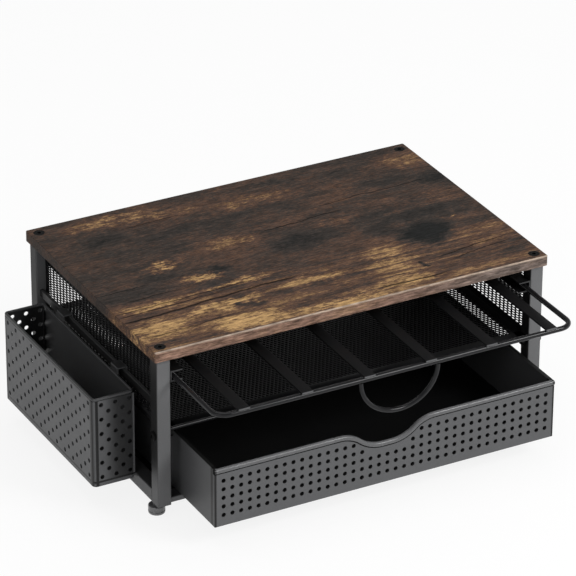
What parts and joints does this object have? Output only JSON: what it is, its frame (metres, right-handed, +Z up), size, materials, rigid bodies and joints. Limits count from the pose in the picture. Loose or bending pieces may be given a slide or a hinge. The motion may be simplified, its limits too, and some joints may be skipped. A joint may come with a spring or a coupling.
{
  "type": "coffee pod drawer",
  "caption": "Coffee pod drawer: wood-topped metal stand with a pull-out pod tray, a perforated drawer below and a lift-off side basket.",
  "frame": {"origin": "middle of the object's bounding box, on the surface that the feet stand on", "axes": "+X from left to right, +Y from front to back, +Z up"},
  "size_m": [0.3948, 0.3132, 0.1555],
  "materials": {
    "board_wood": "printed rustic wood, satin",
    "frame_black": "black powder coat, satin",
    "sheet_black": "black powder coat, satin",
    "mesh_black": "black powder coat, satin",
    "wire_black": "black, glossy",
    "bar_black": "black, satin",
    "screw_black": "black oxide",
    "foot_plastic": "black, glossy",
    "insert_plastic": "black moulded"
  },
  "bodies": {
    "stand": {"board_screw_front_left": "screw_black", "board_screw_front_right": "screw_black", "board_screw_rear_left": "screw_black", "board_screw_rear_right": "screw_black", "bottom_rail_front": "frame_black", "bottom_rail_left": "frame_black", "bottom_rail_rear": "frame_black", "bottom_rail_right": "frame_black", "drawer_runner_left": "frame_black", "drawer_runner_right": "frame_black", "foot_front_left": "foot_plastic", "foot_front_right": "foot_plastic", "foot_inserts": "insert_plastic", "foot_rear_left": "foot_plastic", "foot_rear_right": "foot_plastic", "leg_front_left": "frame_black", "leg_front_right": "frame_black", "leg_rear_left": "frame_black", "leg_rear_right": "frame_black", "leg_top_inserts": "insert_plastic", "shelf_front_rod": "wire_black", "shelf_mesh": "mesh_black", "shelf_screws": "screw_black", "side_bar_left": "frame_black", "side_bar_right": "frame_black", "side_mesh_left": "mesh_black", "side_mesh_right": "mesh_black", "top_board": "board_wood", "tray_channel_left": "frame_black", "tray_channel_right": "frame_black"},
    "tray": {"tray_bar_1": "bar_black", "tray_bar_2": "bar_black", "tray_bar_3": "bar_black", "tray_bar_4": "bar_black", "tray_bar_5": "bar_black", "tray_bar_6": "bar_black", "tray_pull_loop": "wire_black", "tray_wire_frame": "wire_black"},
    "drawer": {"drawer_back": "sheet_black", "drawer_floor": "sheet_black", "drawer_front": "sheet_black", "drawer_front_rim": "sheet_black", "drawer_side_left": "sheet_black", "drawer_side_right": "sheet_black"},
    "basket": {"basket_corner_front": "sheet_black", "basket_corner_rear": "sheet_black", "basket_floor": "sheet_black", "basket_front_wall": "sheet_black", "basket_hooks": "sheet_black", "basket_inner_wall": "sheet_black", "basket_outer_wall": "sheet_black", "basket_rear_wall": "sheet_black", "basket_rim": "sheet_black"}
  },
  "joints": [
    {"name": "tray_slide", "type": "slide", "parent": "stand", "child": "tray", "axis": [0, -1, 0], "range_m": [-0.071, 0.08]},
    {"name": "drawer_slide", "type": "slide", "parent": "stand", "child": "drawer", "axis": [0, -1, 0], "range_m": [-0.057, 0.09]},
    {"name": "basket_lift", "type": "slide", "parent": "stand", "child": "basket", "axis": [0, 0, 1], "range_m": [0, 0.035]}
  ]
}
